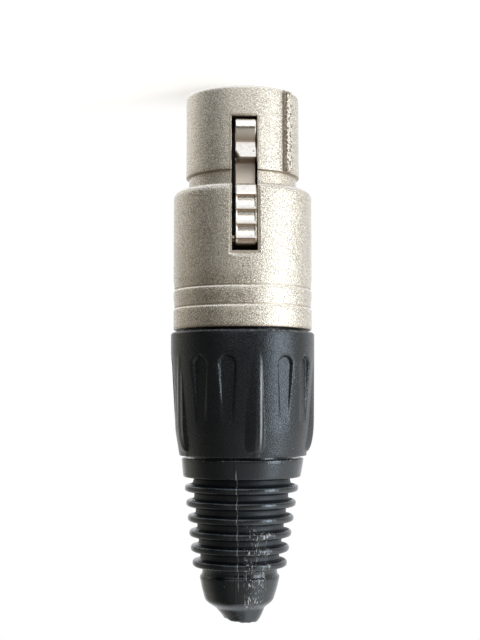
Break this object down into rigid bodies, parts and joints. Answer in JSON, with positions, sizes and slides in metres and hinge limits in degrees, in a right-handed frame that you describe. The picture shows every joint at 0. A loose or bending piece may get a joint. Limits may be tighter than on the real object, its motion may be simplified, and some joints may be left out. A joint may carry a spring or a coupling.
{
  "type": "female cable plug",
  "caption": "Female audio cable plug: round metal shell with a push latch and key rib, socket insert, screwed gland nut and ribbed rubber bend relief.",
  "frame": {"origin": "on the plug's axis at the nose rim, which stands on the ground", "axes": "+Z along the axis to the cable end, -Y through the middle of the latch"},
  "size_m": [0.0198, 0.0198, 0.0723],
  "materials": {
    "shell_nickel": "satin, sand-blasted nickel plate on die-cast zinc",
    "latch_nickel": "smooth nickel plate",
    "spring_steel": "bright spring steel",
    "contact_plating": "silver plate on bronze",
    "insulator": "black moulded plastic",
    "chuck_plastic": "black moulded plastic",
    "nut_plastic": "satin black plastic, fine grain",
    "relief_rubber": "black rubber, worn and scuffed"
  },
  "bodies": {
    "shell": {"housing": "shell_nickel", "insert_front": "insulator", "insert_rear": "insulator", "contact_1": "contact_plating", "contact_2": "contact_plating", "contact_3": "contact_plating", "ground_leaf": "spring_steel", "latch_spring": "spring_steel", "chuck": "chuck_plastic"},
    "latch": {"latch": "latch_nickel"},
    "relief": {"bend_relief": "relief_rubber"},
    "nut": {"gland_nut": "nut_plastic"}
  },
  "joints": [
    {"name": "latch_press", "type": "hinge", "parent": "shell", "child": "latch", "pos_m": [0, -0.0076, 0.0209], "axis": [1, 0, 0], "range_deg": [0, 5.5], "stiffness_Nm_per_rad": 0.3, "springref_deg": -2.86, "deforming": ["latch_spring"]},
    {"name": "gland_draw", "type": "slide", "parent": "shell", "child": "relief", "axis": [0, 0, 1], "range_m": [0, 0.0045]},
    {"name": "gland_nut_turn", "type": "hinge", "parent": "relief", "child": "nut", "pos_m": [0, 0, 0.0416], "axis": [0, 0, 1], "range_deg": [0, 1080]}
  ],
  "couplings": [
    {"joint": "gland_draw", "follows": "gland_nut_turn", "m_per_rad": 0.00023873}
  ]
}
